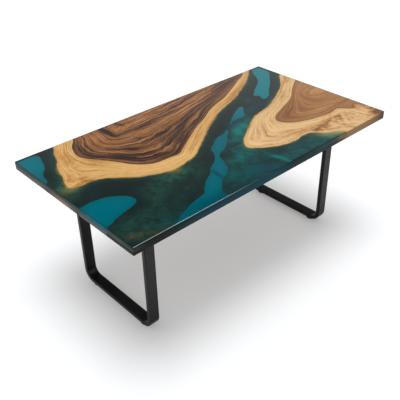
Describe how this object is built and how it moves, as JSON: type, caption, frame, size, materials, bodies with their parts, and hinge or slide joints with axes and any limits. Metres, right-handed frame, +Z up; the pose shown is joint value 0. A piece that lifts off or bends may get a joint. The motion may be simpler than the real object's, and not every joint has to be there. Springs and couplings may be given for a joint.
{
  "type": "dining table",
  "caption": "Rectangular dining table: live-edge wood slabs cast in teal resin as a river top, bolted to bent steel U-frame legs that stand on screw-adjustable levelling feet.",
  "frame": {"origin": "on the floor, under the middle of the table top", "axes": "+X along the table's length, to the right seen from the front; +Y across it, to the back; +Z up"},
  "size_m": [1.8, 0.97, 0.765],
  "materials": {
    "walnut": "polished under clear resin",
    "teal_resin": "polished cast resin",
    "black_steel": "satin black powder coat",
    "black_oxide_steel": "black oxide",
    "zinc_steel": "zinc plated",
    "black_nylon": "moulded nylon"
  },
  "bodies": {
    "table": {"left_slab": "walnut", "right_slab": "walnut", "river_resin": "teal_resin", "left_leg_frame": "black_steel", "left_top_plate": "black_steel", "left_plate_bolts": "black_oxide_steel", "left_plate_washers": "black_oxide_steel", "left_threaded_inserts": "zinc_steel", "left_rivet_nuts": "zinc_steel", "right_leg_frame": "black_steel", "right_top_plate": "black_steel", "right_plate_bolts": "black_oxide_steel", "right_plate_washers": "black_oxide_steel", "right_threaded_inserts": "zinc_steel", "right_rivet_nuts": "zinc_steel"},
    "left_front_foot_base": {"left_front_foot_base": "black_nylon"},
    "left_front_foot_stem": {"left_front_foot_stem": "zinc_steel"},
    "left_rear_foot_base": {"left_rear_foot_base": "black_nylon"},
    "left_rear_foot_stem": {"left_rear_foot_stem": "zinc_steel"},
    "right_front_foot_base": {"right_front_foot_base": "black_nylon"},
    "right_front_foot_stem": {"right_front_foot_stem": "zinc_steel"},
    "right_rear_foot_base": {"right_rear_foot_base": "black_nylon"},
    "right_rear_foot_stem": {"right_rear_foot_stem": "zinc_steel"}
  },
  "joints": [
    {"name": "left_front_foot_height", "type": "slide", "parent": "table", "child": "left_front_foot_base", "axis": [0, 0, -1], "range_m": [0, 0.01]},
    {"name": "left_front_stem_turn", "type": "hinge", "parent": "left_front_foot_base", "child": "left_front_foot_stem", "pos_m": [-0.678, -0.21, 0.01], "axis": [0, 0, -1], "range_deg": [0, 2880]},
    {"name": "left_rear_foot_height", "type": "slide", "parent": "table", "child": "left_rear_foot_base", "axis": [0, 0, -1], "range_m": [0, 0.01]},
    {"name": "left_rear_stem_turn", "type": "hinge", "parent": "left_rear_foot_base", "child": "left_rear_foot_stem", "pos_m": [-0.678, 0.21, 0.01], "axis": [0, 0, -1], "range_deg": [0, 2880]},
    {"name": "right_front_foot_height", "type": "slide", "parent": "table", "child": "right_front_foot_base", "axis": [0, 0, -1], "range_m": [0, 0.01]},
    {"name": "right_front_stem_turn", "type": "hinge", "parent": "right_front_foot_base", "child": "right_front_foot_stem", "pos_m": [0.678, -0.21, 0.01], "axis": [0, 0, -1], "range_deg": [0, 2880]},
    {"name": "right_rear_foot_height", "type": "slide", "parent": "table", "child": "right_rear_foot_base", "axis": [0, 0, -1], "range_m": [0, 0.01]},
    {"name": "right_rear_stem_turn", "type": "hinge", "parent": "right_rear_foot_base", "child": "right_rear_foot_stem", "pos_m": [0.678, 0.21, 0.01], "axis": [0, 0, -1], "range_deg": [0, 2880]}
  ],
  "couplings": [
    {"joint": "left_front_stem_turn", "follows": "left_front_foot_height", "rad_per_m": 5026.5},
    {"joint": "left_rear_stem_turn", "follows": "left_rear_foot_height", "rad_per_m": 5026.5},
    {"joint": "right_front_stem_turn", "follows": "right_front_foot_height", "rad_per_m": 5026.5},
    {"joint": "right_rear_stem_turn", "follows": "right_rear_foot_height", "rad_per_m": 5026.5}
  ]
}
